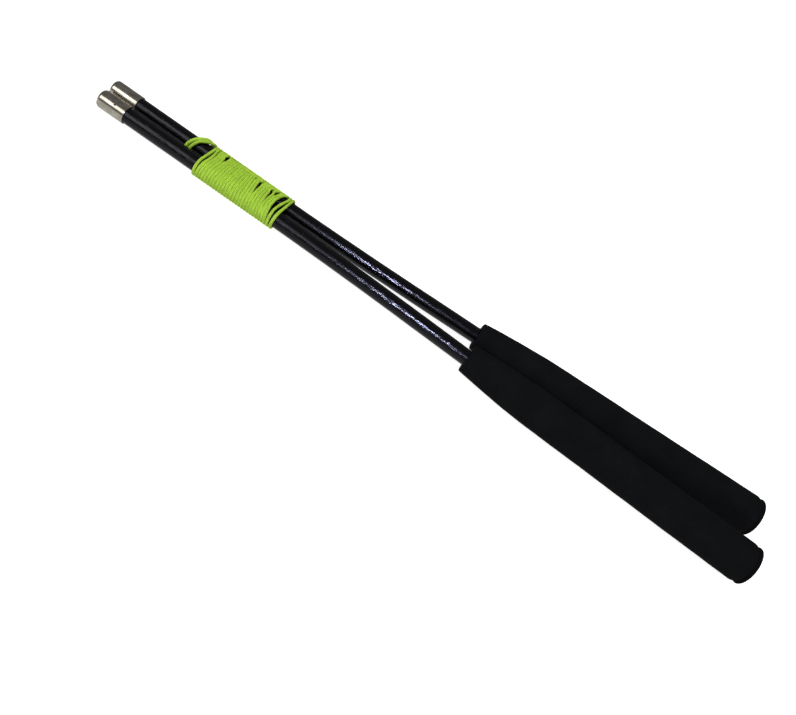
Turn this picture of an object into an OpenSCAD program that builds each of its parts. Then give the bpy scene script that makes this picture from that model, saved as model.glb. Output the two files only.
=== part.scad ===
// A pair of diabolo hand sticks, bundled for storage.
// Each stick is a composite tube with a metal cap at its front end and a foam grip at its rear end.
// One string holds the pair together: two turns round one stick, then a single layer round both.
// The grips are fatter than the tubes, so the tied sticks are sprung apart towards the grips.
//
// Units are millimetres. +X runs from the metal tips to the grips and +Z is up. The bundle lies on the
// plane Z = 0, on the caps and on the grips' shoulders, so the sticks slope up slightly towards the grips.

/* [Sticks] */
// Length of one stick, from the nose of the cap to the butt of the grip
stick_length = 327; // [270:1:400]
// Diameter of the tube
tube_d = 7; // [5.5:0.1:9]
// Wall of the tube
tube_wall = 1.2; // [0.8:0.1:1.6]
// How far the lower stick sits towards the grips, along the bundle
stagger = 1; // [0:0.5:4]

/* [Metal tip] */
// Length of the cap
tip_length = 13.1; // [10:0.1:20]
// Wall of the cap round the tube
tip_wall = 0.5; // [0.4:0.05:1.2]
// Thickness of the nose in front of the tube
nose_thickness = 3.2; // [2.6:0.1:5]
// Width of the flat ring between the nose's rounding and the mouth of the string hole
nose_flat = 1; // [0.1:0.1:1.2]
// Diameter of the string hole through the nose
string_hole_d = 2.2; // [1.6:0.1:3]
// Radius that eases the mouth of the string hole
string_hole_round = 0.4; // [0.2:0.1:0.6]
// Diameter of the punched dimple in the side of the cap
dimple_d = 0.8; // [0.5:0.1:1.2]
// Depth of the punched dimple
dimple_depth = 0.35; // [0.2:0.05:0.35]
// Distance from the rim of the cap to the dimple
dimple_setback = 5; // [3:0.5:8]

/* [Grip] */
// Length of the grip
grip_length = 143; // [110:1:180]
// Diameter of the grip at its front edge
grip_front_d = 12.7; // [11:0.1:15]
// Diameter of the grip at its shoulder
grip_shoulder_d = 17.1; // [15.5:0.1:20]
// Diameter of the grip near its butt
grip_butt_d = 18.4; // [16:0.1:22]
// Length of the flare, from the front edge to the shoulder
flare_length = 40; // [25:1:60]
// Radius that rounds the front edge
grip_front_round = 0.7; // [0.4:0.1:1.2]
// Radius that rounds the butt
grip_butt_round = 3.4; // [2:0.1:5]
// Height of the butt's shallow dome
butt_dome = 0.6; // [0.2:0.1:1.5]
// Foam left behind the end of the tube
butt_thickness = 7; // [5:0.5:12]

/* [End plug] */
// Length of the plug's spigot inside the tube
spigot_length = 12; // [6:0.5:20]
// Thickness of the plug's flange
flange_thickness = 1.5; // [1:0.1:3]

/* [Bundle] */
// Gap between the tubes where the string holds them
tube_gap = 2.2; // [1.8:0.1:3.5]
// Gap between the grips, near their shoulders
grip_gap = 0.45; // [0.2:0.05:4]
// How far in front of the winding's end each tube starts to bend
bend_lead = 11.8; // [4:0.1:20]
// Straight length of each tube between its bend and its grip
straight_length = 33; // [10:1:60]

/* [String] */
// Diameter of the string
string_d = 1.4; // [1:0.1:1.4]
// Thickness of the layer that the string makes when it is drawn tight
layer_thickness = 1.15; // [0.8:0.05:1.4]
// Distance from the noses to the first turn round both sticks
winding_start = 49.3; // [49.3:0.1:60]
// Number of turns round both sticks
turns = 28; // [16:1:34]
// Spacing of the turns
turn_pitch = 1.41; // [1.2:0.01:1.6]
// Clearance between the layer and the tubes
string_clearance = 0.3; // [0.2:0.05:0.5]

/* [Fits] */
// Gap for adhesive, all round, between a tube and what is fixed to it
glue_gap = 0.05; // [0.02:0.01:0.15]

/* [Hidden] */

LOWER = -1;
UPPER = 1;
facets = 64;
arc_steps = 8;
flare_steps = 16;
through = 1;
// A tube's bend is drawn a hair thinner than its straight lengths and runs into their ends, so that the
// three make one clean solid.
seam_lap = 0.1;
seam_step = 0.02;

tube_r = tube_d / 2;
bore_r = tube_r - tube_wall;
tip_r = tube_r + tip_wall;
grip_start = stick_length - grip_length;
tube_end = stick_length - butt_thickness - flange_thickness;
socket_r = tube_r + glue_gap;
nose_round = tip_r - string_hole_d / 2 - string_hole_round - nose_flat;
tube_spacing = tube_d + tube_gap;

// Each tube bends evenly from just inside the winding until just in front of its grip. The grips come
// closest on their flares, and the angle of the bend leaves the wanted gap there.
bend_start = winding_start + turns * turn_pitch - bend_lead;
bend_end = grip_start - straight_length;
bend_length = bend_end - bend_start;
closest_share = 0.7;
closest_x = grip_start + closest_share * flare_length;
bend_angle = asin((flare_r(closest_share) + grip_gap / 2 - tube_spacing / 2)
                  / (closest_x - bend_start - bend_length / 2));
bend_radius = bend_length / (bend_angle * PI / 180);

// The grips lie on the table with their flares, or with their butts if those are fat enough.
contact_share = 0.85;
pitch = max(slope_to(grip_start + contact_share * flare_length, flare_r(contact_share)),
            slope_to(stick_length - butt_dome - grip_butt_round, grip_butt_d / 2));
lift = tip_r * cos(pitch) - nose_round * sin(pitch);
half_length = (stick_length + stagger) / 2;

// The dimple faces up and outwards on the lower stick, and away underneath on the upper one.
dimple_turn = [-38, 150];

// Route of the string in front of the winding, as [x, y, z]: x from the noses, y from the middle of the
// bundle, z from the plane of the tubes' centre lines. It leaves the groove under the tubes, comes up
// between them, goes twice round the upper tube and meets the winding on the upper tube's outer side.
loop_route = [
    [54, 0, -2.6], [51.4, 0, -2.7], [48.8, -0.4, -3.1], [46.4, -0.9, -3.7], [44.2, -1, -3.9],
    [42.2, -0.9, -3.8], [40.7, -0.6, -3], [39.8, -0.3, -1.8], [39.5, -0.1, -0.4], [39.6, 0.1, 1.2],
    [40.3, 0.9, 3], [41.5, 2.4, 4.3], [43.1, 4.3, 4.8], [44.6, 6.3, 4.5], [45.9, 7.9, 3.4],
    [46.6, 8.9, 1.7], [46.8, 9.2, -0.2], [46.6, 8.8, -2.1], [45.9, 7.5, -3.5], [44.9, 5.7, -4.15],
    [43.7, 3.8, -4.14], [42.5, 2.1, -3.5], [41.6, 0.8, -2.3], [41.2, 0.1, -0.6], [41.4, 0.1, 1.3],
    [42.2, 0.9, 3.1], [43.4, 2.3, 4.5], [44.9, 4.2, 4.65], [46.4, 6.1, 4.25], [47.6, 7.75, 3.25],
    [48.2, 8.9, 2], [48.4, 9.2, 0.2], [48.6, 9.1, -1.2]
];
loop_sides = 8;
ring_step = 1;

// Radius of the grip along its flare, at a share of the flare's length.
function flare_r(share) = (grip_front_d + (grip_shoulder_d - grip_front_d) * sin(90 * share)) / 2;

// Slope of the stick when it lies on the rim of its nose and on a place further back.
function slope_to(x, radius) = atan((radius - tip_r) / (x - nose_round));

// Points of an arc in the XY plane.
function arc(centre, radius, from, to, steps) =
    [for (i = [0 : steps]) let (a = from + (to - from) * i / steps) centre + radius * [cos(a), sin(a)]];

// Outline of half the cap's section, with the nose at x = 0 and the axis along x.
function tip_outline() = concat(
    arc([string_hole_round, string_hole_d / 2 + string_hole_round], string_hole_round, 270, 180, arc_steps),
    arc([nose_round, tip_r - nose_round], nose_round, 180, 90, arc_steps),
    [[tip_length, tip_r], [tip_length, socket_r], [nose_thickness, socket_r],
     [nose_thickness, string_hole_d / 2]]);

// Outline of half the grip's section, with the front edge at x = 0. The tube's hole is blind.
function grip_outline() =
    let (r_front = grip_front_d / 2, r_butt = grip_butt_d / 2, r_seat = r_butt - grip_butt_round)
    concat(
        [[0, socket_r]],
        arc([grip_front_round, r_front - grip_front_round], grip_front_round, 180, 100, arc_steps),
        [for (i = [1 : flare_steps]) [flare_length * i / flare_steps, flare_r(i / flare_steps)]],
        arc([grip_length - butt_dome - grip_butt_round, r_seat], grip_butt_round, 90, 15, arc_steps),
        [for (i = [1 : arc_steps]) let (a = 90 * i / arc_steps)
            [grip_length - butt_dome + butt_dome * sin(a), (r_seat + grip_butt_round * cos(15)) * cos(a)]],
        [[grip_length - butt_thickness, 0], [grip_length - butt_thickness, socket_r]]);

function unit(v) = v / norm(v);

// Point on a smooth curve through a route's points, where s counts points.
function on_route(route, s) =
    let (last = len(route) - 1, i = min(floor(s), last - 1), t = s - i,
         a = route[max(i - 1, 0)], b = route[i], c = route[i + 1], d = route[min(i + 2, last)])
    0.5 * (2 * b + (c - a) * t + (2 * a - 5 * b + 4 * c - d) * t * t + (3 * b - a - 3 * c + d) * t * t * t);

// Turns a shape that was drawn along +Z to run along +X.
module along_x() {
    rotate([0, 90, 0]) children();
}

// A solid of revolution about the X axis, from half its section in the XY plane.
module turned(outline) {
    along_x() rotate_extrude($fn = facets) polygon([for (p = outline) [p[1], p[0]]]);
}

// A plain rod along +X.
module rod(from, to, radius) {
    translate([from, 0, 0]) along_x() cylinder(r = radius, h = to - from, $fn = facets);
}

// A rod that is straight, then bends towards +Y, then is straight again.
module sprung_rod(from, to, radius) {
    rod(from, bend_start + seam_lap, radius);
    translate([bend_start, bend_radius, 0]) rotate([0, 0, -90])
        rotate_extrude(angle = bend_angle, $fn = facets)
            translate([bend_radius, 0]) circle(r = radius - seam_step, $fn = facets);
    behind_bend() rod(bend_end - seam_lap, to, radius);
}

// Places what sits behind the bend, which is drawn as if the stick were straight.
module behind_bend() {
    translate([bend_start, bend_radius, 0]) rotate([0, 0, bend_angle])
        translate([-bend_end, -bend_radius, 0]) children();
}

// Lays the bundle on the table, from its own straight frame.
module on_table() {
    translate([-half_length, 0, lift]) rotate([0, -pitch, 0]) children();
}

// Places one stick in the bundle. A stick is drawn bending towards +Y.
module stick(side) {
    on_table() translate([side == LOWER ? stagger : 0, side * tube_spacing / 2, 0])
        mirror([0, side == LOWER ? 1 : 0, 0]) children();
}

// Composite tube, open right through.
module tube(side) {
    color("#161618") stick(side) difference() {
        sprung_rod(nose_thickness, tube_end, tube_r);
        sprung_rod(nose_thickness - through, tube_end + through, bore_r);
    }
}

// Nickel-plated cap with a string hole through its nose and a punched dimple in its side.
module tip(side) {
    turn = side == LOWER ? dimple_turn[0] : dimple_turn[1];
    color("#c9c8c2") stick(side) difference() {
        turned(tip_outline());
        translate([tip_length - dimple_setback, 0, 0]) rotate([turn, 0, 0])
            translate([0, 0, tip_r - dimple_depth]) cylinder(d = dimple_d, h = dimple_depth + through, $fn = facets);
    }
}

// Foam grip, closed at the butt.
module grip(side) {
    color("#17181a") stick(side) behind_bend() translate([grip_start, 0, 0]) turned(grip_outline());
}

// Plug that closes the rear end of the tube inside the grip.
module end_plug(side) {
    color("#8a8a86") stick(side) behind_bend() {
        rod(tube_end - spigot_length, tube_end + flange_thickness, bore_r - glue_gap);
        rod(tube_end, tube_end + flange_thickness, tube_r);
    }
}

// Outline of a band that wraps both tubes at a distance from their centre lines.
module wrap_outline(radius) {
    for (side = [LOWER, UPPER])
        translate([0, side * tube_spacing / 2]) circle(r = radius, $fn = facets);
    square([2 * radius, tube_spacing], center = true);
}

// The single layer of string round both sticks.
module winding() {
    inner_r = tube_r + string_clearance;
    color("#a4cc48") on_table() translate([winding_start, 0, 0]) along_x()
        linear_extrude(turns * turn_pitch) difference() {
            wrap_outline(inner_r + layer_thickness);
            wrap_outline(inner_r);
        }
}

// Points of the curve where a swept tube has its rings.
function centres_of(route, step) =
    [for (i = [0 : floor((len(route) - 1) / step)]) on_route(route, i * step)];

// Direction of the curve at each ring.
function headings_of(centres) =
    let (last = len(centres) - 1)
    [for (i = [0 : last]) unit(centres[min(i + 1, last)] - centres[max(i - 1, 0)])];

// A vector with its part along a heading taken out, so that it is square to the heading.
function squared_to(heading, v) = unit(v - (v * heading) * heading);

// One side vector for each ring, carried along the curve so that the rings don't twist.
function sides_of(headings, first) =
    [for (i = 0, side = squared_to(headings[0], first);
          i < len(headings);
          i = i + 1, side = i < len(headings) ? squared_to(headings[i], side) : side) side];

// A tube swept along a route.
module swept_string(route, diameter, sides, step) {
    centres = centres_of(route, step);
    headings = headings_of(centres);
    across = sides_of(headings, [0, 0, 1]);
    last = len(centres) - 1;
    points = [for (i = [0 : last], k = [0 : sides - 1]) let (a = 360 * k / sides)
        centres[i] + diameter / 2 * (cos(a) * across[i] + sin(a) * cross(headings[i], across[i]))];
    start_cap = [for (k = [0 : sides - 1]) k];
    end_cap = [for (k = [sides - 1 : -1 : 0]) last * sides + k];
    walls = [for (i = [0 : last - 1], k = [0 : sides - 1], half = [0, 1])
        let (n = (k + 1) % sides, here = i * sides, ahead = here + sides)
        half == 0 ? [here + k, ahead + k, ahead + n] : [here + k, ahead + n, here + n]];
    polyhedron(points, concat([start_cap], walls, [end_cap]), convexity = 10);
}

// The two turns of string round the upper stick alone, in front of the winding.
module loop() {
    color("#a4cc48") on_table() swept_string(loop_route, string_d, loop_sides, ring_step);
}

tube(LOWER);  // lower_tube
tip(LOWER);  // lower_tip
grip(LOWER);  // lower_grip
end_plug(LOWER);  // lower_end_plug
tube(UPPER);  // upper_tube
tip(UPPER);  // upper_tip
grip(UPPER);  // upper_grip
end_plug(UPPER);  // upper_end_plug
winding();  // string_winding
loop();  // string_loop
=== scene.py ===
"""Looks of a bundled pair of diabolo hand sticks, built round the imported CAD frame.

Each stick is a black composite tube with a nickel-plated cap and a foam grip. One lime string is wound
round both tubes and holds the pair together. Sizes are in millimetres, and world() turns them to metres
in the frame's own axes: +X runs from the caps to the grips, +Y from the lower stick to the upper one.
"""

import logging
import math
from dataclasses import dataclass, field
from enum import Enum

import bpy
import numpy as np
from mathutils import Matrix, Vector


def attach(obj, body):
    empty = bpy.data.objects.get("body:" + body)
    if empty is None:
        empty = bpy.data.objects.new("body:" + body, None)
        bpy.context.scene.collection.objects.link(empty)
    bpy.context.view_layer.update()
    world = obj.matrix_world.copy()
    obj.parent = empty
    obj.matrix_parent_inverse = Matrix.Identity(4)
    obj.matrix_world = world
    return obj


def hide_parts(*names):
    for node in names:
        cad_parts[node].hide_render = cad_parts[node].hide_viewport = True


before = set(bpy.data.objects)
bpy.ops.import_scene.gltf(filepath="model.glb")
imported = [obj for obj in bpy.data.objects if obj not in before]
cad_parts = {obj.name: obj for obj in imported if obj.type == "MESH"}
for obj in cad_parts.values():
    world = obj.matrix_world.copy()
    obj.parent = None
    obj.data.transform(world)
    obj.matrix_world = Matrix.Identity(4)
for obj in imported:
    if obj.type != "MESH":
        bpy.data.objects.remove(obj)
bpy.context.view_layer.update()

log = logging.getLogger("hand_sticks")
MM = 0.001
Array = np.ndarray


class Side(Enum):
    """Which stick of the pair: the lower one lies towards -Y."""

    LOWER = -1
    UPPER = 1

    @property
    def label(self) -> str:
        """Prefix of the stick's CAD nodes."""
        return self.name.lower()

    @property
    def body(self) -> str:
        """CAD body that the stick's pieces ride on."""
        return f"{self.label}_stick"


@dataclass(frozen=True)
class Bundle:
    """Sizes shared by the whole bundle, in millimetres, as in the part's own source."""

    stick_length: float = 327.0
    tube_d: float = 7.0
    tube_gap: float = 2.2
    stagger: float = 1.0
    tip_wall: float = 0.5
    nose_round: float = 1.5
    grip_length: float = 143.0
    grip_front_d: float = 12.7
    grip_shoulder_d: float = 17.1
    flare_length: float = 40.0
    grip_gap: float = 0.45
    winding_start: float = 49.3
    turns: int = 28
    turn_pitch: float = 1.41
    bend_lead: float = 11.8
    straight_length: float = 33.0
    closest_share: float = 0.7  # place on the flare where the grips come closest
    contact_share: float = 0.85  # place on the flare that rests on the floor

    @property
    def tube_r(self) -> float:
        """Radius of a tube."""
        return self.tube_d / 2

    @property
    def half_spacing(self) -> float:
        """Distance from the middle of the bundle to a tube's centre line."""
        return (self.tube_d + self.tube_gap) / 2

    @property
    def tip_r(self) -> float:
        """Radius of a metal cap."""
        return self.tube_r + self.tip_wall

    @property
    def grip_start(self) -> float:
        """Distance from the nose to the grip's front edge."""
        return self.stick_length - self.grip_length

    @property
    def bend_start(self) -> float:
        """Distance from the nose to the start of the bend."""
        return self.winding_start + self.turns * self.turn_pitch - self.bend_lead

    @property
    def bend_end(self) -> float:
        """Distance from the nose, along the stick, to the end of the bend."""
        return self.grip_start - self.straight_length

    @property
    def bend_angle(self) -> float:
        """Angle of the bend, in radians, that leaves the wanted gap between the grips."""
        closest_x = self.grip_start + self.closest_share * self.flare_length
        aside = self.flare_r(self.closest_share) + self.grip_gap / 2 - self.half_spacing
        return math.asin(aside / (closest_x - (self.bend_start + self.bend_end) / 2))

    @property
    def pitch(self) -> float:
        """Slope of the resting bundle, in radians."""
        contact_x = self.grip_start + self.contact_share * self.flare_length
        rise = self.flare_r(self.contact_share) - self.tip_r
        return math.atan(rise / (contact_x - self.nose_round))

    def flare_r(self, share: float) -> float:
        """Radius of the grip at a share of its flare.

        Args:
            share: place along the flare, from 0 at its front edge to 1 at its shoulder.

        Returns:
            The radius in millimetres.
        """
        spread = self.grip_shoulder_d - self.grip_front_d
        return (self.grip_front_d + spread * math.sin(math.pi / 2 * share)) / 2

    def on_stick(self, side: Side, points: Array) -> Array:
        """Moves points from a straight stick's own frame to the bundle's frame, round the bend.

        Args:
            side: which stick the points are on.
            points: rows of x from the nose, y outwards from the stick's axis, and z up.

        Returns:
            Rows of points in the bundle's frame, in millimetres.
        """
        radius = (self.bend_end - self.bend_start) / self.bend_angle
        turn = np.clip((points[:, 0] - self.bend_start) / radius, 0, self.bend_angle)
        past = points[:, 0] - self.bend_start - turn * radius
        along = self.bend_start + radius * np.sin(turn) + past * np.cos(turn) - points[:, 1] * np.sin(turn)
        aside = radius * (1 - np.cos(turn)) + past * np.sin(turn) + points[:, 1] * np.cos(turn)
        shift = self.stagger if side is Side.LOWER else 0.0
        return np.column_stack([along + shift, side.value * (self.half_spacing + aside), points[:, 2]])

    def world(self, points: Array) -> Array:
        """Moves points from the bundle's frame to the world, and turns them to metres.

        Args:
            points: rows of x from the noses, y from the bundle's middle, z from the tubes' plane.

        Returns:
            Rows of points in metres, with the bundle lying on the floor.
        """
        cos_p, sin_p = math.cos(self.pitch), math.sin(self.pitch)
        half = (self.stick_length + self.stagger) / 2
        lift = self.tip_r * cos_p - self.nose_round * sin_p
        x, y, z = points.T
        return MM * np.column_stack([x * cos_p - z * sin_p - half, y, x * sin_p + z * cos_p + lift])


BUNDLE = Bundle()


# ---------------------------------------------------------------- colours and nodes

def linear(code: str) -> tuple[float, float, float, float]:
    """Turns an sRGB hex colour to linear RGBA.

    Args:
        code: six hex digits after a hash sign.

    Returns:
        Red, green, blue and alpha, from 0 to 1.
    """
    parts = [int(code[i:i + 2], 16) / 255 for i in (1, 3, 5)]
    red, green, blue = [c / 12.92 if c <= 0.04045 else ((c + 0.055) / 1.055) ** 2.4 for c in parts]
    return (red, green, blue, 1.0)


def add_node(tree: bpy.types.NodeTree, kind: str, values: dict | None = None,
             links: dict | None = None, **settings: object) -> bpy.types.Node:
    """Adds one shader node with its settings, its input values and its links.

    Args:
        tree: the tree that the node goes into.
        kind: the node's type without its "ShaderNode" prefix.
        values: input sockets, by name or number, and the constant that each one gets.
        links: input sockets, by name or number, and the output socket that feeds each one.
        settings: the node's own properties.

    Returns:
        The new node.
    """
    node = tree.nodes.new("ShaderNode" + kind)
    for name, setting in settings.items():
        setattr(node, name, setting)
    for socket, value in (values or {}).items():
        node.inputs[socket].default_value = value
    for socket, source in (links or {}).items():
        tree.links.new(source, node.inputs[socket])
    return node


def new_material(name: str) -> tuple[bpy.types.Material, bpy.types.NodeTree]:
    """Makes an empty node material.

    Args:
        name: the material's name.

    Returns:
        The material and its empty node tree.
    """
    material = bpy.data.materials.new(name)
    material.use_nodes = True
    material.node_tree.nodes.clear()
    return material, material.node_tree


def finish_surface(tree: bpy.types.NodeTree, values: dict, links: dict) -> None:
    """Adds the shader and the output that end a material.

    Args:
        tree: the material's node tree.
        values: constants for the shader's sockets.
        links: outputs that feed the shader's sockets.
    """
    shader = add_node(tree, "BsdfPrincipled", values, links)
    add_node(tree, "OutputMaterial", links={"Surface": shader.outputs[0]})


def grain(tree: bpy.types.NodeTree, size_mm: float, detail: float = 2.0,
          stretch: tuple[float, float, float] = (1.0, 1.0, 1.0)) -> bpy.types.NodeSocket:
    """Adds a noise pattern whose blobs have a real size.

    Args:
        tree: the material's node tree.
        size_mm: size of one blob, in millimetres.
        detail: octaves of finer noise.
        stretch: how much finer the pattern is along each axis.

    Returns:
        The noise's value output.
    """
    place = add_node(tree, "TexCoord")
    mapping = add_node(tree, "Mapping", {"Scale": stretch}, {"Vector": place.outputs["Object"]})
    noise = add_node(tree, "TexNoise", {"Scale": 1 / (size_mm * MM), "Detail": detail},
                     {"Vector": mapping.outputs[0]})
    return noise.outputs[0]


# ---------------------------------------------------------------- finishes

@dataclass(frozen=True)
class NickelPlate:
    """Nickel plate over drawn steel: softly polished, so reflections are sharp-edged bands."""

    name: str = "nickel_plate_on_drawn_steel"
    colour: str = "#cdc8bb"
    dull_colour: str = "#a39d8c"
    # near-black painted shade, mixed into the dimple, the bore of the string hole and the inner rim of the
    # socket
    painted_shade_colour: str = "#060605"
    draw_line_mm: float = 0.22  # drawing marks run along the cap; coarsened so that they show
    cloud_mm: float = 2.6  # handling haze
    groove_mm: float = 0.02  # depth of the drawing marks

    def build(self) -> bpy.types.Material:
        """Returns the material."""
        material, tree = new_material(self.name)
        lines = grain(tree, self.draw_line_mm, 2.0, (0.05, 1.0, 1.0))
        clouds = grain(tree, self.cloud_mm, 3.0)
        haze = add_node(tree, "MapRange", {"From Min": 0.35, "From Max": 0.75}, {"Value": clouds})
        metal = add_node(tree, "Mix", {"A": linear(self.colour), "B": linear(self.dull_colour)},
                         {"Factor": haze.outputs[0]}, data_type="RGBA")
        # Painted shade: the dimple, the string hole and the socket's rim are darkened towards near black
        painted_shade = add_node(tree, "Attribute", attribute_name="painted_shade")
        tint = add_node(tree, "Mix", {"B": linear(self.painted_shade_colour)},
                        {"Factor": painted_shade.outputs["Fac"], "A": metal.outputs[2]}, data_type="RGBA")
        rough = add_node(tree, "MapRange", {"To Min": 0.13, "To Max": 0.24}, {"Value": clouds})
        bump = add_node(tree, "Bump", {"Strength": 0.10, "Distance": self.groove_mm * MM}, {"Height": lines})
        finish_surface(tree, {"Metallic": 1.0},
                       {"Base Color": tint.outputs[2], "Roughness": rough.outputs[0],
                        "Normal": bump.outputs[0]})
        return material


@dataclass(frozen=True)
class FibreComposite:
    """Pultruded black fibre composite: fibre lines along the tube break its highlights into streaks, and its
    pale bluish specks are painted glint.
    """

    name: str = "pultruded_black_fibre_composite"
    # pale bluish painted glint, mixed as specks into the black colour
    colour: str = "#070708"
    painted_glint_colour: str = "#7d8096"
    grain_mm: float = 0.55  # resin grain, coarsened from about 0.2 so that it shows
    fibre_mm: float = 0.35  # fibre lines along the tube, which widen highlights across it
    fibre_depth_mm: float = 0.09
    pit_depth_mm: float = 0.08
    painted_glint_mm: float = 0.7  # spacing of the cells that the painted glint specks are chosen from
    painted_glint_cut: float = 0.93  # a cell gets a painted glint speck when its random value is above this
    painted_glint_strength: float = 0.25

    def build(self) -> bpy.types.Material:
        """Returns the material."""
        material, tree = new_material(self.name)
        pits = grain(tree, self.grain_mm, 3.0)
        fibres = grain(tree, self.fibre_mm, 1.0, (0.08, 1.0, 1.0))
        place = add_node(tree, "TexCoord")
        # Painted glint: a few random cells get pale bluish specks in the base colour
        cells = add_node(tree, "TexVoronoi", {"Scale": 1 / (self.painted_glint_mm * MM)},
                         {"Vector": place.outputs["Object"]})
        lone = add_node(tree, "SeparateColor", links={"Color": cells.outputs["Color"]})
        chosen = add_node(tree, "Math", {1: self.painted_glint_cut}, {0: lone.outputs[0]},
                          operation="GREATER_THAN")
        middle = add_node(tree, "MapRange", {"From Min": 0.32, "From Max": 0.12}, {"Value": cells.outputs[0]})
        painted_glint = add_node(tree, "Math", links={0: chosen.outputs[0], 1: middle.outputs[0]},
                         operation="MULTIPLY")
        faint = add_node(tree, "Math", {1: self.painted_glint_strength}, {0: painted_glint.outputs[0]},
                         operation="MULTIPLY")
        tint = add_node(tree, "Mix", {"A": linear(self.colour), "B": linear(self.painted_glint_colour)},
                        {"Factor": faint.outputs[0]}, data_type="RGBA")
        rough = add_node(tree, "MapRange", {"To Min": 0.13, "To Max": 0.21}, {"Value": pits})
        fine = add_node(tree, "Bump", {"Strength": 0.9, "Distance": self.fibre_depth_mm * MM},
                        {"Height": fibres})
        bump = add_node(tree, "Bump", {"Strength": 0.15, "Distance": self.pit_depth_mm * MM},
                        {"Height": pits, "Normal": fine.outputs[0]})
        finish_surface(tree, {"IOR": 1.52, "Specular IOR Level": 0.30, "Specular Tint": linear("#f2f2ff")},
                       {"Base Color": tint.outputs[2], "Roughness": rough.outputs[0],
                        "Normal": bump.outputs[0]})
        return material


@dataclass(frozen=True)
class ClosedCellFoam:
    """Black closed-cell EVA foam, ground to shape: dead matte with a fine open-cell grain."""

    name: str = "ground_closed_cell_eva_foam"
    colour: str = "#111213"
    worn_colour: str = "#161718"
    cell_mm: float = 0.45  # cut cells, coarsened from about 0.2 so that they show
    cell_depth_mm: float = 0.12
    cloud_mm: float = 9.0  # uneven grinding

    def build(self) -> bpy.types.Material:
        """Returns the material."""
        material, tree = new_material(self.name)
        clouds = grain(tree, self.cloud_mm, 3.0)
        cells = grain(tree, self.cell_mm, 2.0)
        mottle = add_node(tree, "MapRange", {"From Min": 0.3, "From Max": 0.7}, {"Value": clouds})
        tint = add_node(tree, "Mix", {"A": linear(self.colour), "B": linear(self.worn_colour)},
                        {"Factor": mottle.outputs[0]}, data_type="RGBA")
        bump = add_node(tree, "Bump", {"Strength": 0.5, "Distance": self.cell_depth_mm * MM},
                        {"Height": cells})
        finish_surface(tree, {"Roughness": 1.0, "Specular IOR Level": 0.08, "IOR": 1.45},
                       {"Base Color": tint.outputs[2], "Normal": bump.outputs[0]})
        return material


@dataclass(frozen=True)
class BraidedPolyester:
    """Braided polyester string, dyed lime: crossing yarns give a fine diamond rib and a soft sheen, and the
    valleys between them carry painted shade.
    """

    name: str = "braided_lime_polyester"
    colour: str = "#cbf64e"
    # darker lime painted into the valleys between the yarns as painted shade
    painted_valley_shade_colour: str = "#a8d43c"
    plait_mm: float = 0.72  # length of one crossing along the string
    yarns_round: int = 3  # crossings round the string
    yarn_depth_mm: float = 0.10
    cloud_mm: float = 3.0  # uneven dye

    def build(self) -> bpy.types.Material:
        """Returns the material."""
        material, tree = new_material(self.name)
        route = add_node(tree, "UVMap", uv_map=StringLashing.PLAIT_MAP)
        parts = add_node(tree, "SeparateXYZ", links={0: route.outputs[0]})
        along = add_node(tree, "Math", {1: 2 * math.pi / self.plait_mm}, {0: parts.outputs[0]},
                         operation="MULTIPLY")
        around = add_node(tree, "Math", {1: 2 * math.pi * self.yarns_round}, {0: parts.outputs[1]},
                          operation="MULTIPLY")
        ribs = []
        for way in ("ADD", "SUBTRACT"):
            slant = add_node(tree, "Math", links={0: along.outputs[0], 1: around.outputs[0]},
                             operation=way)
            ribs.append(add_node(tree, "Math", links={0: slant.outputs[0]}, operation="SINE"))
        yarn = add_node(tree, "Math", links={0: ribs[0].outputs[0], 1: ribs[1].outputs[0]},
                        operation="MAXIMUM")
        high = add_node(tree, "MapRange", {"From Min": -0.6, "From Max": 1.0}, {"Value": yarn.outputs[0]})
        clouds = grain(tree, self.cloud_mm, 2.0)
        dye = add_node(tree, "MapRange", {"To Min": 0.82, "To Max": 1.12}, {"Value": clouds})
        # Painted shade: the valleys between the yarns get the darker colour
        weave = add_node(tree, "Mix", {"A": linear(self.painted_valley_shade_colour), "B": linear(self.colour)},
                         {"Factor": high.outputs[0]}, data_type="RGBA")
        tint = add_node(tree, "VectorMath", links={0: weave.outputs[2], 1: dye.outputs[0]},
                        operation="MULTIPLY")
        bump = add_node(tree, "Bump", {"Strength": 0.6, "Distance": self.yarn_depth_mm * MM},
                        {"Height": high.outputs[0]})
        finish_surface(tree, {"Roughness": 0.72, "Specular IOR Level": 0.3, "Sheen Weight": 0.25,
                              "Sheen Roughness": 0.5, "Sheen Tint": linear("#d8f27a")},
                       {"Base Color": tint.outputs[0], "Normal": bump.outputs[0]})
        return material


@dataclass(frozen=True)
class MouldedPolyethylene:
    """Moulded natural polyethylene: waxy, faintly uneven and half matte."""

    name: str = "moulded_polyethylene"
    colour: str = "#8f8f8a"
    pale_colour: str = "#a3a39d"
    ripple_mm: float = 1.5  # flow marks of the mould
    ripple_depth_mm: float = 0.05

    def build(self) -> bpy.types.Material:
        """Returns the material."""
        material, tree = new_material(self.name)
        ripples = grain(tree, self.ripple_mm, 2.0)
        tint = add_node(tree, "Mix", {"A": linear(self.colour), "B": linear(self.pale_colour)},
                        {"Factor": ripples}, data_type="RGBA")
        bump = add_node(tree, "Bump", {"Strength": 0.2, "Distance": self.ripple_depth_mm * MM},
                        {"Height": ripples})
        finish_surface(tree, {"Roughness": 0.5, "IOR": 1.51},
                       {"Base Color": tint.outputs[2], "Normal": bump.outputs[0]})
        return material


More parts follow.
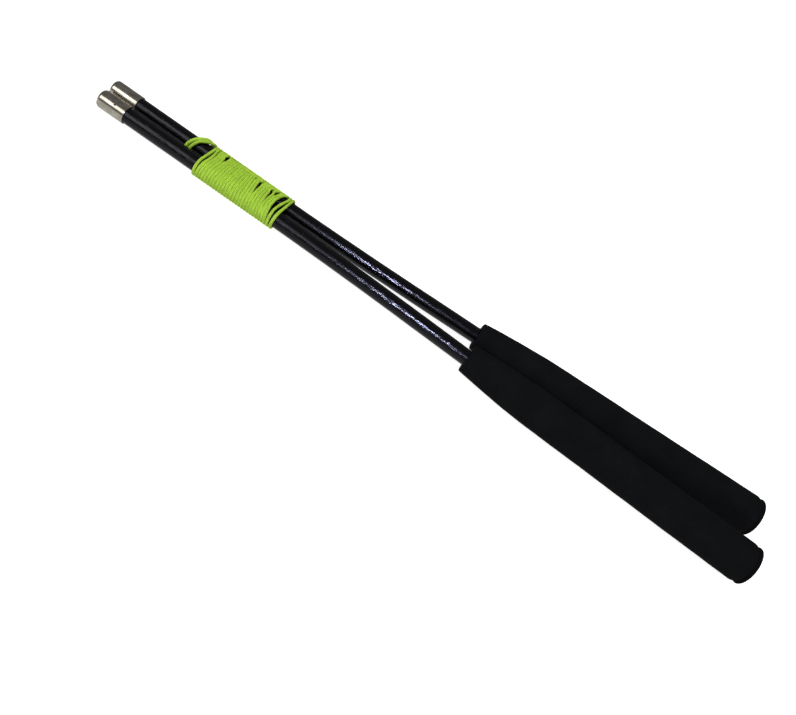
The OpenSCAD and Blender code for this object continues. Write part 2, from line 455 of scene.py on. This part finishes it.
@dataclass(frozen=True)
class BackdropPaper:
    """Seamless white backdrop paper: it glows faintly, so that it stays evenly white to its edges."""

    name: str = "seamless_backdrop_paper"
    colour: str = "#f4f4f3"
    shade_colour: str = "#f0f0ef"
    tooth_mm: float = 1.2  # barely visible tooth of the paper

    def build(self) -> bpy.types.Material:
        """Returns the material."""
        material, tree = new_material(self.name)
        tooth = grain(tree, self.tooth_mm, 2.0)
        tint = add_node(tree, "Mix", {"A": linear(self.colour), "B": linear(self.shade_colour)},
                        {"Factor": tooth}, data_type="RGBA")
        finish_surface(tree, {"Roughness": 0.95, "Specular IOR Level": 0.1, "Emission Strength": 1.0},
                       {"Base Color": tint.outputs[2], "Emission Color": tint.outputs[2]})
        return material


# ---------------------------------------------------------------- meshes

def unit(vectors: Array) -> Array:
    """Scales each row to length 1."""
    return vectors / np.linalg.norm(vectors, axis=-1, keepdims=True)


def make_object(name: str, points: Array, faces: list, material: bpy.types.Material) -> bpy.types.Object:
    """Makes a smooth-shaded mesh object with one material.

    Args:
        name: the piece's name.
        points: rows of world points, in metres.
        faces: lists of point numbers.
        material: the piece's finish.

    Returns:
        The new object, in the scene.
    """
    mesh = bpy.data.meshes.new(name)
    mesh.from_pydata(points.tolist(), [], faces)
    mesh.polygons.foreach_set("use_smooth", [True] * len(mesh.polygons))
    mesh.materials.append(material)
    mesh.update()
    piece = bpy.data.objects.new(name, mesh)
    bpy.context.scene.collection.objects.link(piece)
    return piece


def grid_faces(rows: int, columns: int, closed: bool) -> list[tuple[int, int, int, int]]:
    """Quads between rings of points.

    Args:
        rows: number of rings.
        columns: points in each ring.
        closed: whether the last ring joins the first.

    Returns:
        Four point numbers for each quad.
    """
    steps = rows if closed else rows - 1
    return [(r * columns + c, (r + 1) % rows * columns + c,
             (r + 1) % rows * columns + (c + 1) % columns, r * columns + (c + 1) % columns)
            for r in range(steps) for c in range(columns)]


def arc(centre: tuple[float, float], radius: float, start: float, stop: float, steps: int) -> Array:
    """Points of an arc in a section.

    Args:
        centre: x and radius of its centre, in millimetres.
        radius: its radius, in millimetres.
        start: first angle, in degrees.
        stop: last angle, in degrees.
        steps: number of intervals.

    Returns:
        Rows of x and radius.
    """
    angles = np.radians(np.linspace(start, stop, steps + 1))
    return np.column_stack([centre[0] + radius * np.cos(angles), centre[1] + radius * np.sin(angles)])


def line(start: tuple[float, float], stop: tuple[float, float], steps: int) -> Array:
    """Evenly spaced points of a straight stretch in a section, without its last point.

    Args:
        start: x and radius where it starts.
        stop: x and radius where it stops.
        steps: number of intervals.

    Returns:
        Rows of x and radius.
    """
    return np.linspace(start, stop, steps, endpoint=False)


def fine_near(values: Array, middle: float, reach: float, extra: int) -> Array:
    """Adds closely spaced values round a place that needs detail.

    Args:
        values: sorted values.
        middle: the place.
        reach: how far the extra values go on either side.
        extra: how many are added.

    Returns:
        All the values, sorted, with near doubles taken out.
    """
    joined = np.sort(np.concatenate([values, np.linspace(middle - reach, middle + reach, extra)]))
    gaps = np.diff(joined, prepend=joined[0] - 1)
    return joined[gaps > reach / extra / 3]


# ---------------------------------------------------------------- string

@dataclass(frozen=True)
class Slit:
    """A place where two neighbouring turns part and show the tubes.

    The width is in millimetres. The peak is the place round a turn where the slit is widest, and the
    two reaches say how far it goes on before and after the peak, all as shares of a turn.
    """

    after_turn: int
    width: float
    peak: float
    reach_before: float
    reach_after: float

    def opening(self, share: Array) -> Array:
        """Width of the slit round the bundle.

        Args:
            share: places round a turn, from 0 to 1, starting under the bundle.

        Returns:
            Widths in millimetres.
        """
        before = np.clip(1 - (self.peak - share) / self.reach_before, 0, 1)
        after = np.clip(1 - (share - self.peak) / self.reach_after, 0, 1)
        part = np.where(share < self.peak, before, after)
        return self.width * part * part * (3 - 2 * part)


@dataclass
class StringLashing:
    """The lime string: a tail in the groove, two turns round the upper tube, then one tight layer."""

    PLAIT_MAP = "plait"

    diameter: float = 1.4
    layer_thickness: float = 1.16  # the string is squeezed where it is wound
    layer_r: float = 4.15  # from a tube's centre line to the middle of the layer
    first_turn: float = 49.4
    lead_in: float = 0.22  # share of a turn that is wound before the first whole one
    run_out: float = 0.17  # share of the last turn that is left to the tucked end
    rings_per_turn: int = 156
    sides: int = 16
    ring_step: float = 0.29
    handover_rings: int = 8  # rings of the layer that give way to the curves at its ends
    squareness: float = 2.15  # 2 is an ellipse, and more is squarer
    slow_wander: float = 0.09
    quick_wander: float = 0.03
    slack: float = 0.05  # how far loose turns stand off
    swell_depth: float = 0.022
    swell_mm: float = 1.15  # length of one swelling of the braid
    loop_width_share: float = 0.98
    loop_thickness_share: float = 0.94
    ease_rings: int = 9  # rings over which the section changes
    slits: tuple[Slit, ...] = (
        Slit(1, 0.85, 0.47, 0.30, 0.18),
        Slit(2, 0.35, 0.60, 0.20, 0.08),
        Slit(5, 1.35, 0.60, 0.11, 0.07),
        Slit(17, 0.85, 0.62, 0.06, 0.06),
        Slit(19, 1.10, 0.59, 0.22, 0.08),
        Slit(23, 0.95, 0.57, 0.19, 0.08),
        Slit(24, 1.30, 0.60, 0.08, 0.07),
        Slit(26, 2.20, 0.58, 0.38, 0.12),
        Slit(27, 1.05, 0.44, 0.34, 0.24),
    )
    # The free stretch in front of the layer: x from the noses, y and z from the bundle's middle.
    loop_route: tuple[tuple[float, float, float], ...] = (
        (54, 0, -2.6), (51.4, 0, -2.7), (48.8, -0.4, -3.1), (46.4, -0.9, -3.7), (44.2, -1, -3.9),
        (42.2, -0.9, -3.8), (40.7, -0.6, -3), (39.8, -0.3, -1.8), (39.5, -0.1, -0.4), (39.6, 0.1, 1.2),
        (40.3, 0.9, 3), (41.5, 2.4, 4.3), (43.1, 4.3, 4.8), (44.6, 6.3, 4.5), (45.9, 7.9, 3.4),
        (46.6, 8.9, 1.7), (46.8, 9.2, -0.2), (46.6, 8.8, -2.1), (45.9, 7.5, -3.5), (44.9, 5.7, -4.15),
        (43.7, 3.8, -4.14), (42.5, 2.1, -3.5), (41.6, 0.8, -2.3), (41.2, 0.1, -0.6), (41.4, 0.1, 1.3),
        (42.2, 0.9, 3.1), (43.4, 2.3, 4.5), (44.9, 4.2, 4.65), (46.4, 6.1, 4.25), (47.6, 7.75, 3.25),
        (48.2, 8.9, 2), (48.4, 9.2, 0.2), (48.6, 9.1, -1.2),
    )
    # The end leaves the last turn under the bundle and is tucked back into the groove.
    tuck_route: tuple[tuple[float, float, float], ...] = (
        (89.3, 6.3, -3.85), (89.95, 4.9, -4.2), (90.3, 3.5, -4.1), (90.2, 2.3, -3.7), (89.6, 1.3, -3.2),
        (88.6, 0.6, -2.85), (87.3, 0.2, -2.68), (85.7, 0, -2.6), (83.5, 0, -2.6), (80.5, 0, -2.6),
        (77.5, 0, -2.6),
    )

    @property
    def lap(self) -> float:
        """Length of one turn round the bundle."""
        return 2 * math.pi * self.layer_r + 4 * BUNDLE.half_spacing

    def round_bundle(self, share: Array) -> tuple[Array, Array]:
        """Where a turn lies round the two tubes.

        Args:
            share: places round a turn, from 0 to 1. It starts under the bundle and goes up round
                the lower tube first.

        Returns:
            Rows of y and z of the string's middle, and rows of y and z of the outward direction.
        """
        half, radius = BUNDLE.half_spacing, self.layer_r
        bow = math.pi * radius
        at = (share % 1) * self.lap
        first = np.clip((at - half) / radius, 0, math.pi)
        second = np.clip((at - half - bow - 2 * half) / radius, 0, math.pi)
        lower = at < half + bow
        angle = np.where(lower, -math.pi / 2 - first, math.pi / 2 - second)
        out = np.column_stack([np.cos(angle), np.sin(angle)])
        over = np.clip(at - half - bow, 0, 2 * half) - half
        under = np.where(lower, -np.clip(at, 0, half), np.clip(self.lap - at, 0, half))
        top = (at > half + bow) & (at < 3 * half + bow)
        flat_y = np.where(top, over, under)
        hub = np.where(top, over, np.where(lower, -half, half))
        straight_under = (at < half) | (at > self.lap - half)
        hub = np.where(straight_under, flat_y, hub)
        return np.column_stack([hub + radius * out[:, 0], radius * out[:, 1]]), out

    def edge_wander(self, boundary: Array, share: Array) -> Array:
        """Small unevenness of the line where two turns meet, the same for both of them.

        Args:
            boundary: numbers of the boundaries, counted from the first turn's front edge.
            share: places round a turn, from 0 to 1.

        Returns:
            Offsets along the bundle, in millimetres.
        """
        slow = np.sin(2 * math.pi * share + 2.4 * boundary) * np.sin(1.7 * boundary + 0.6)
        quick = np.sin(6 * math.pi * share + 4.1 * boundary)
        held = np.sin(math.pi * share) ** 2
        return held * (self.slow_wander * slow + self.quick_wander * quick)

    def layer(self) -> tuple[Array, Array, Array, Array]:
        """The turns of the tight layer.

        Returns:
            Rows of centres, rows of outward directions, half widths and half thicknesses.
        """
        count = BUNDLE.turns * self.rings_per_turn + 1
        lead = int(self.lead_in * self.rings_per_turn)
        turn = np.arange(-lead, count - int(self.run_out * self.rings_per_turn)) / self.rings_per_turn
        number = np.clip(np.floor(turn), -1, BUNDLE.turns - 1)
        share = turn - number
        total = sum(slit.opening(share) for slit in self.slits)
        squeeze = (BUNDLE.turn_pitch - total / BUNDLE.turns) / BUNDLE.turn_pitch
        start = self.first_turn + BUNDLE.turn_pitch * share

        def boundary(edge: Array) -> Array:
            """Place of a turn's edge, moved on by the slits in front of it."""
            even = start + BUNDLE.turn_pitch * squeeze * (edge - 0.5)
            return even + before + self.edge_wander(edge, share)

        before = sum(slit.opening(share) * (number >= slit.after_turn) for slit in self.slits)
        low, high = boundary(number), boundary(number + 1)
        middle = (low + high) / 2
        half_width = (high - low) / 2
        flat, out = self.round_bundle(share)
        half_thick = self.layer_thickness / 2 * (BUNDLE.turn_pitch / 2 / half_width) ** 0.5
        loose = self.slack * np.sin(1.3 * number + 2 * math.pi * share) * np.sin(math.pi * share) ** 2
        lift = (half_thick - self.layer_thickness / 2 + np.abs(loose))[:, None]
        centres = np.column_stack([middle, flat + lift * out])
        outward = np.column_stack([np.zeros(len(turn)), out])
        return centres, outward, half_width, half_thick

    @staticmethod
    def smooth(points: Array, step: float) -> Array:
        """A smooth curve through points, with evenly spaced places on it.

        Args:
            points: rows of points.
            step: distance between places.

        Returns:
            Rows of places, from the first point to the last.
        """
        padded = np.vstack([2 * points[0] - points[1], points, 2 * points[-1] - points[-2]])
        fine = []
        for a, b, c, d in zip(padded, padded[1:], padded[2:], padded[3:]):
            t = np.linspace(0, 1, 24, endpoint=False)[:, None]
            fine.append(0.5 * (2 * b + (c - a) * t + (2 * a - 5 * b + 4 * c - d) * t ** 2
                               + (3 * b - a - 3 * c + d) * t ** 3))
        dense = np.vstack(fine + [points[-1:]])
        run = np.concatenate([[0], np.cumsum(np.linalg.norm(np.diff(dense, axis=0), axis=1))])
        places = np.linspace(0, run[-1], max(2, round(run[-1] / step) + 1))
        return np.column_stack([np.interp(places, run, dense[:, k]) for k in range(3)])

    def whole_route(self) -> tuple[Array, Array, Array, Array]:
        """The string from end to end.

        Returns:
            Rows of centres, rows of side directions that point outwards on the layer, half widths
            along the bundle and half thicknesses.
        """
        centres, outward, half_width, half_thick = self.layer()
        kept = slice(self.handover_rings, -self.handover_rings)
        layer = centres[kept]
        front = self.smooth(np.vstack([self.loop_route, layer[0]]), self.ring_step)[:-1]
        rear = self.smooth(np.vstack([layer[-1], self.tuck_route]), self.ring_step)[1:]
        centres = np.vstack([front, layer, rear])
        heading = unit(np.gradient(centres, axis=0))
        sides = np.zeros_like(centres)
        inner = slice(len(front), len(centres) - len(rear))
        sides[inner] = outward[kept]
        for i in range(inner.start - 1, -1, -1):
            sides[i] = self.squared(heading[i], sides[i + 1])
        for i in range(inner.stop, len(centres)):
            sides[i] = self.squared(heading[i], sides[i - 1])
        sides = unit(sides - np.sum(sides * heading, axis=1, keepdims=True) * heading)
        width = np.full(len(centres), self.diameter / 2 * self.loop_width_share)
        thick = np.full(len(centres), self.diameter / 2 * self.loop_thickness_share)
        width[inner], thick[inner] = half_width[kept], half_thick[kept]
        return centres, sides, self.eased(width), self.eased(thick)

    def eased(self, values: Array) -> Array:
        """Averages each value with its neighbours, so that the section changes gently."""
        padded = np.pad(values, self.ease_rings // 2, mode="edge")
        return np.convolve(padded, np.ones(self.ease_rings) / self.ease_rings, mode="valid")

    @staticmethod
    def squared(heading: Array, side: Array) -> Array:
        """A side direction made square to a heading."""
        return unit(side - np.dot(side, heading) * heading)

    def build(self, material: bpy.types.Material) -> bpy.types.Object:
        """Args:
            material: the string's finish.

        Returns:
            The string.
        """
        centres, sides, width, thick = self.whole_route()
        heading = unit(np.gradient(centres, axis=0))
        across = np.cross(heading, sides)
        angles = 2 * math.pi * np.arange(self.sides) / self.sides
        run = np.concatenate([[0], np.cumsum(np.linalg.norm(np.diff(centres, axis=0), axis=1))])
        power = 2 / self.squareness
        cos_a = np.sign(np.cos(angles)) * np.abs(np.cos(angles)) ** power
        sin_a = np.sign(np.sin(angles)) * np.abs(np.sin(angles)) ** power
        swell = 1 + self.swell_depth * np.cos(2 * math.pi * run[:, None] / self.swell_mm + 2 * angles)
        points = (centres[:, None, :]
                  + (thick[:, None] * cos_a * swell)[..., None] * sides[:, None, :]
                  + (width[:, None] * sin_a * swell)[..., None] * across[:, None, :])
        count = len(centres)
        faces = grid_faces(count, self.sides, closed=False)
        faces.append(tuple(range(self.sides - 1, -1, -1)))
        faces.append(tuple(range((count - 1) * self.sides, count * self.sides)))
        piece = make_object("lime_string", BUNDLE.world(points.reshape(-1, 3)), faces, material)
        self.map_plait(piece, run)
        line_points = BUNDLE.world(centres)
        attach(piece, "string")
        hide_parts("string_winding", "string_loop")
        return piece

    def map_plait(self, piece: bpy.types.Object, run: Array) -> None:
        """Lays a map along the string for its plait: millimetres along it, and turns round it.

        Args:
            piece: the string.
            run: distance of each ring from the string's start.
        """
        mesh = piece.data
        loops = np.zeros(len(mesh.loops), np.int32)
        mesh.loops.foreach_get("vertex_index", loops)
        ring, spot = np.divmod(loops, self.sides)
        around = spot / self.sides
        corners = 4 * (len(run) - 1) * self.sides
        quads = around[:corners].reshape(-1, 4)
        seam = quads.max(1) - quads.min(1) > 0.5
        quads[seam] = np.where(quads[seam] < 0.5, quads[seam] + 1, quads[seam])
        around[:corners] = quads.reshape(-1)
        layer = mesh.uv_layers.new(name=self.PLAIT_MAP)
        layer.uv.foreach_set("vector", np.column_stack([run[ring], around]).astype(np.float32).ravel())


# ---------------------------------------------------------------- sticks

@dataclass
class MetalTip:
    """The cap on a stick's front end, with a string hole through its nose and a punched dimple."""

    side: Side
    length: float = 13.1
    nose_thickness: float = 3.2
    hole_r: float = 1.1
    hole_round: float = 0.4
    socket_r: float = 3.55
    rim_round: float = 0.22
    dimple_r: float = 0.42
    dimple_depth: float = 0.34
    dimple_setback: float = 5.0
    fine_reach: float = 0.7  # how far from the dimple's middle the mesh is finer
    fine_lines: int = 19
    lip_height: float = 0.02  # metal raised round the dimple by the punch
    columns: int = 120

    @property
    def dimple_turn(self) -> float:
        """Angle of the dimple round the stick, in degrees from straight up."""
        return -38.0 if self.side is Side.LOWER else 150.0

    @property
    def dimple_x(self) -> float:
        """Distance from the nose to the dimple."""
        return self.length - self.dimple_setback

    def outline(self) -> Array:
        """Section of the cap as a closed ring of points, with x along the stick."""
        radius, nose_round = BUNDLE.tip_r, BUNDLE.nose_round
        body = fine_near(np.linspace(nose_round + 0.5, self.length - 0.4, 14), self.dimple_x,
                         self.fine_reach, self.fine_lines)
        return np.vstack([
            arc((self.hole_round, self.hole_r + self.hole_round), self.hole_round, 270, 180, 8),
            arc((nose_round, radius - nose_round), nose_round, 180, 90, 18),
            np.column_stack([body, np.full(len(body), radius)]),
            arc((self.length - self.rim_round, radius - self.rim_round), self.rim_round, 90, 0, 4),
            line((self.length, self.socket_r), (self.nose_thickness, self.socket_r), 4),
            line((self.nose_thickness, self.socket_r), (self.nose_thickness, self.hole_r), 3),
            line((self.nose_thickness, self.hole_r), (self.hole_round, self.hole_r), 4),
        ])

    def build(self, material: bpy.types.Material) -> bpy.types.Object:
        """Turns the cap's section, presses the dimple in and sets what the cap rides on.

        Args:
            material: the cap's finish.

        Returns:
            The cap.
        """
        outline = self.outline()
        centre = math.radians(self.dimple_turn)
        even = np.linspace(centre - math.pi, centre + math.pi, self.columns, endpoint=False)
        angles = fine_near(even, centre, self.fine_reach / BUNDLE.tip_r, self.fine_lines)
        x, radius = outline[:, 0][:, None], outline[:, 1][:, None]
        bulge = np.abs(radius - BUNDLE.tip_r) < 0.01
        away = np.hypot(x - self.dimple_x, (angles[None, :] - centre) * BUNDLE.tip_r) / self.dimple_r
        dent = np.where(bulge, np.clip(1 - away ** 2, 0, 1) ** 0.8, 0) * self.dimple_depth
        lip = np.where(bulge, np.exp(-((away - 1.15) / 0.22) ** 2), 0) * self.lip_height
        deep = radius - dent + lip
        points = np.stack([np.broadcast_to(x, deep.shape), -deep * np.sin(angles), deep * np.cos(angles)], -1)
        flat = points.reshape(-1, 3)
        faces = grid_faces(len(outline), len(angles), closed=True)
        if self.side is Side.UPPER:
            faces = [face[::-1] for face in faces]
        name = f"{self.side.label}_cap"
        piece = make_object(name, BUNDLE.world(BUNDLE.on_stick(self.side, flat)), faces, material)
        # Painted shade: darkness laid into the dimple, the bore of the string hole and the rim of the socket,
        # stored per point
        painted_shade = np.clip(dent / self.dimple_depth * 2.2, 0, 1)
        hole_and_rim_shade = (radius < self.hole_r + 0.25) * 0.8 + ((radius < 3.9) & (x > self.length - 0.1)) * 0.5
        painted_shade = np.clip(painted_shade + hole_and_rim_shade, 0, 1)
        layer = piece.data.attributes.new("painted_shade", "FLOAT", "POINT")
        layer.data.foreach_set("value", np.broadcast_to(painted_shade, deep.shape).astype(np.float32).ravel())
        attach(piece, self.side.body)
        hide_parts(f"{self.side.label}_tip")
        log.info("%s: %d faces", name, len(piece.data.polygons))
        return piece


@dataclass
class FoamGrip:
    """The foam handle: a flare, a long slight taper and a rounded butt."""

    side: Side
    butt_d: float = 18.4
    front_round: float = 0.7
    butt_round: float = 3.4
    butt_dome: float = 0.6
    butt_thickness: float = 7.0
    socket_r: float = 3.55
    columns: int = 112

    def outline(self) -> Array:
        """Section of the grip from the tube's hole to the butt's middle, with its front at x = 0."""
        length, flare = BUNDLE.grip_length, BUNDLE.flare_length
        front_r, butt_r = BUNDLE.grip_front_d / 2, self.butt_d / 2
        seat = butt_r - self.butt_round
        edge = length - self.butt_dome - self.butt_round
        shares = np.linspace(0, 1, 33)[2:]
        flared = np.column_stack([flare * shares, [BUNDLE.flare_r(share) for share in shares]])
        long = np.linspace([flare, BUNDLE.grip_shoulder_d / 2], [edge, butt_r], 40)[1:-1]
        rim = seat + self.butt_round * math.cos(math.radians(15))
        turn = np.radians(np.linspace(0, 86, 12)[1:])
        dome = np.column_stack([length - self.butt_dome + self.butt_dome * np.sin(turn), rim * np.cos(turn)])
        hole_end = length - self.butt_thickness
        return np.vstack([
            [[hole_end, 0.4]],
            line((hole_end, self.socket_r), (0.3, self.socket_r), 12),
            arc((0.3, self.socket_r + 0.3), 0.3, 270, 180, 3),
            line((0.0, self.socket_r + 0.5), (0.0, front_r - self.front_round), 5),
            arc((self.front_round, front_r - self.front_round), self.front_round, 180, 96, 8),
            flared, long,
            arc((edge, seat), self.butt_round, 90, 15, 14),
            dome,
        ])

    def build(self, material: bpy.types.Material) -> bpy.types.Object:
        """Turns the grip's section, gives it the slight unevenness of ground foam and seats it.

        Args:
            material: the grip's finish.

        Returns:
            The grip.
        """
        outline = self.outline()
        angles = np.linspace(0, 2 * math.pi, self.columns, endpoint=False)
        x, radius = outline[:, 0][:, None], outline[:, 1][:, None]
        phase = 1.1 if self.side is Side.UPPER else 0.0
        wave = (0.030 * np.sin(x / 11 + 2 * angles + phase) + 0.022 * np.sin(x / 4.3 - 3 * angles + 2 * phase)
                + 0.016 * np.sin(x / 1.9 + 5 * angles))
        outer = np.clip((radius - self.socket_r - 0.6) / 2, 0, 1)
        uneven = radius + (wave - 0.05) * outer
        points = np.stack([np.broadcast_to(x + BUNDLE.grip_start, uneven.shape),
                           uneven * np.cos(angles), uneven * np.sin(angles)], -1)
        rows, columns = uneven.shape
        faces = grid_faces(rows, columns, closed=False)
        faces.append(tuple(range(columns)))
        faces.append(tuple(range(rows * columns - 1, (rows - 1) * columns - 1, -1)))
        if self.side is Side.LOWER:
            faces = [face[::-1] for face in faces]
        name = f"{self.side.label}_foam_grip"
        piece = make_object(name, BUNDLE.world(BUNDLE.on_stick(self.side, points.reshape(-1, 3))), faces,
                            material)
        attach(piece, self.side.body)
        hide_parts(f"{self.side.label}_grip")
        log.info("%s: %d faces", name, len(piece.data.polygons))
        return piece


@dataclass
class Stick:
    """One hand stick: its cap and grip are built here, its tube and plug come from the CAD model."""

    side: Side
    nickel: bpy.types.Material
    foam: bpy.types.Material
    composite: bpy.types.Material
    polyethylene: bpy.types.Material
    pieces: list = field(default_factory=list)

    def build(self) -> None:
        """Builds the cap and the grip, and dresses the tube and the end plug."""
        self.pieces.append(MetalTip(self.side).build(self.nickel))
        self.pieces.append(FoamGrip(self.side).build(self.foam))
        self.dress("tube", self.composite)
        self.dress("end_plug", self.polyethylene)

    def dress(self, part: str, material: bpy.types.Material) -> None:
        """Gives a CAD node its finish.

        Args:
            part: the node's name without its stick.
            material: the finish.
        """
        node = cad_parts[f"{self.side.label}_{part}"]
        node.data.materials.clear()
        node.data.materials.append(material)
        self.pieces.append(node)
        log.info("%s: dressed with %s", node.name, material.name)


# ---------------------------------------------------------------- studio

@dataclass
class Studio:
    """Camera, floor and lights, none of which belong to the object.

    Lengths are in millimetres and angles in radians. The camera looks down at the bundle's side, tilted
    from straight down, swung and leant a little, and then rolled so that the bundle lies aslant.
    """

    aim: tuple[float, float, float] = (-2.74, -30.59, 8.0)
    distance: float = 306.2
    tilt: float = 0.7789
    swing: float = 0.0315
    lean: float = -0.0065
    roll: float = math.radians(35.3115)
    lens: float = 35.60
    floor_r: float = 3000.0
    floor_sides: int = 96

    def camera_axes(self) -> tuple[Vector, Vector, Vector]:
        """Directions of the view.

        Returns:
            Forwards, right and down.
        """
        level = Vector((0, math.sin(self.tilt), -math.cos(self.tilt)))
        along = Vector((1, 0, 0))
        across = Vector((0, -math.cos(self.tilt), -math.sin(self.tilt)))
        forwards = level * math.cos(self.swing) + along * math.sin(self.swing)
        swung = along * math.cos(self.swing) - level * math.sin(self.swing)
        first = swung * math.cos(self.lean) + across * math.sin(self.lean)
        second = across * math.cos(self.lean) - swung * math.sin(self.lean)
        right = first * math.cos(self.roll) - second * math.sin(self.roll)
        down = first * math.sin(self.roll) + second * math.cos(self.roll)
        return forwards, right, down

    def place_camera(self) -> bpy.types.Object:
        """Makes the camera and returns it."""
        forwards, right, down = self.camera_axes()
        data = bpy.data.cameras.new("studio_camera")
        data.lens = self.lens
        data.sensor_width = 36.0
        data.sensor_fit = "HORIZONTAL"
        data.clip_start = 0.01
        data.clip_end = 50.0
        camera = bpy.data.objects.new("studio_camera", data)
        bpy.context.scene.collection.objects.link(camera)
        spot = (Vector(self.aim) - forwards * self.distance) * MM
        axes = Matrix((right, -down, -forwards)).transposed().to_4x4()
        camera.matrix_world = Matrix.Translation(spot) @ axes
        bpy.context.scene.camera = camera
        return camera

    def lay_floor(self, material: bpy.types.Material) -> bpy.types.Object:
        """Makes the floor, a wide disc of paper.

        Args:
            material: the floor's finish.

        Returns:
            The floor.
        """
        angles = np.linspace(0, 2 * math.pi, self.floor_sides, endpoint=False)
        rim = self.floor_r * MM * np.column_stack([np.cos(angles), np.sin(angles), np.zeros_like(angles)])
        floor = make_object("paper_floor", rim, [tuple(range(self.floor_sides))], material)
        floor.visible_glossy = False
        floor.visible_diffuse = False
        return floor

    def hang_light(self, name: str, place: tuple[float, float, float], size: tuple[float, float],
                   power: float, colour: str) -> bpy.types.Object:
        """Hangs a soft box that faces the bundle.

        Args:
            name: the light's name.
            place: where it hangs, in millimetres.
            size: its length along the bundle and its height, in millimetres.
            power: its power, in watts.
            colour: its sRGB hex colour.

        Returns:
            The light.
        """
        data = bpy.data.lights.new(name, "AREA")
        data.shape = "RECTANGLE"
        data.size, data.size_y = size[0] * MM, size[1] * MM
        data.energy = power
        data.color = linear(colour)[:3]
        lamp = bpy.data.objects.new(name, data)
        bpy.context.scene.collection.objects.link(lamp)
        spot = Vector(place) * MM
        along = Vector((1, 0, 0))
        back = (spot - Vector((spot.x, 0, 0))).normalized()
        turn = Matrix((along, along.cross(back), back)).transposed().to_4x4()
        lamp.matrix_world = Matrix.Translation(spot) @ turn
        return lamp

    def light(self) -> None:
        """Hangs the lights and sets the soft light of the room, which is brightest low down."""
        self.hang_light("window_soft_box", (-560, -630, 665), (620, 540), 2.5, "#ffffff")
        fill = self.hang_light("overhead_fill", (-60, -200, 750), (500, 300), 2.8, "#ffffff")
        fill.visible_glossy = False
        flash = self.hang_light("flash_head", (-52, -430, 400), (34, 40), 2.3, "#dcdfff")
        flash.visible_diffuse = False
        world = bpy.data.worlds.new("studio_room")
        world.use_nodes = True
        tree = world.node_tree
        tree.nodes.clear()
        place = add_node(tree, "TexCoord")
        parts = add_node(tree, "SeparateXYZ", links={0: place.outputs["Generated"]})
        level = add_node(tree, "MapRange",
                         {"From Min": -0.12, "From Max": 0.16, "To Min": 0.66, "To Max": 0.16},
                         {"Value": parts.outputs[2]}, interpolation_type="SMOOTHSTEP")
        glow = add_node(tree, "Background", {"Strength": 1.0}, {"Color": level.outputs[0]})
        add_node(tree, "OutputWorld", links={"Surface": glow.outputs[0]})
        bpy.context.scene.world = world
        bpy.context.scene.view_settings.view_transform = "Standard"


def main() -> None:
    """Builds the camera, the string, both sticks and the studio."""
    logging.basicConfig(level=logging.INFO, format="%(name)s: %(message)s")
    studio = Studio()
    studio.place_camera()
    StringLashing().build(BraidedPolyester().build())
    nickel, foam = NickelPlate().build(), ClosedCellFoam().build()
    composite, polyethylene = FibreComposite().build(), MouldedPolyethylene().build()
    for side in Side:
        Stick(side, nickel, foam, composite, polyethylene).build()
    studio.lay_floor(BackdropPaper().build())
    studio.light()


if __name__ == "__main__":
    main()
